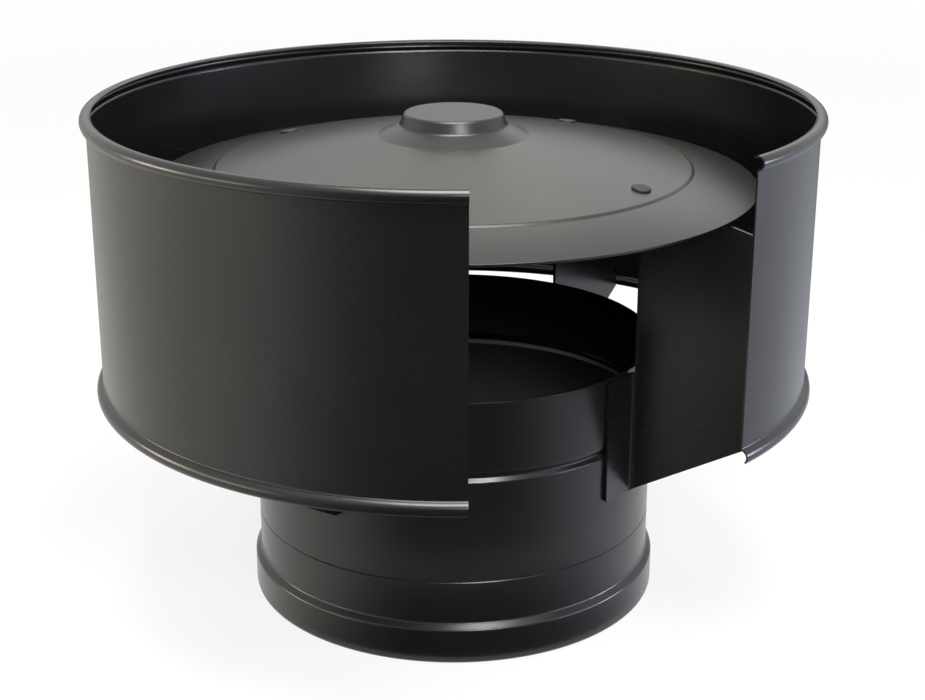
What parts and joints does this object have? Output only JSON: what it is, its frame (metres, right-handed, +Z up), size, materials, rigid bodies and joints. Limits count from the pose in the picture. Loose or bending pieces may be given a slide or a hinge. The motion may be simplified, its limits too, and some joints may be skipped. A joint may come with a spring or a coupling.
{
  "type": "chimney rain cap",
  "caption": "Round flue rain cap: a shallow cap on folded sheet brackets over a socketed pipe, inside a beaded wind band that is partly cut away.",
  "frame": {"origin": "on the flue's axis, level with the lowest edge of the socket's hem", "axes": "+Z up along the flue's axis, +X to the right and -Y to the front, the side with the cut-away"},
  "size_m": [0.2698, 0.2698, 0.1895],
  "materials": {
    "pipe_coat": "satin black heat-resistant coating on steel sheet",
    "collar_coat": "satin black heat-resistant coating on steel sheet",
    "cap_coat": "satin black coating with a fine speckle",
    "band_coat": "satin black coating with a fine speckle",
    "bracket_coat": "satin black coating on folded steel sheet",
    "rivet_coat": "black coated rivet heads"
  },
  "bodies": {
    "root": {"flue_pipe": "pipe_coat", "socket_collar": "collar_coat", "cap_lid": "cap_coat", "wind_band": "band_coat", "bracket_1": "bracket_coat", "bracket_2": "bracket_coat", "bracket_3": "bracket_coat", "bracket_4": "bracket_coat", "cap_rivets": "rivet_coat"}
  },
  "joints": []
}
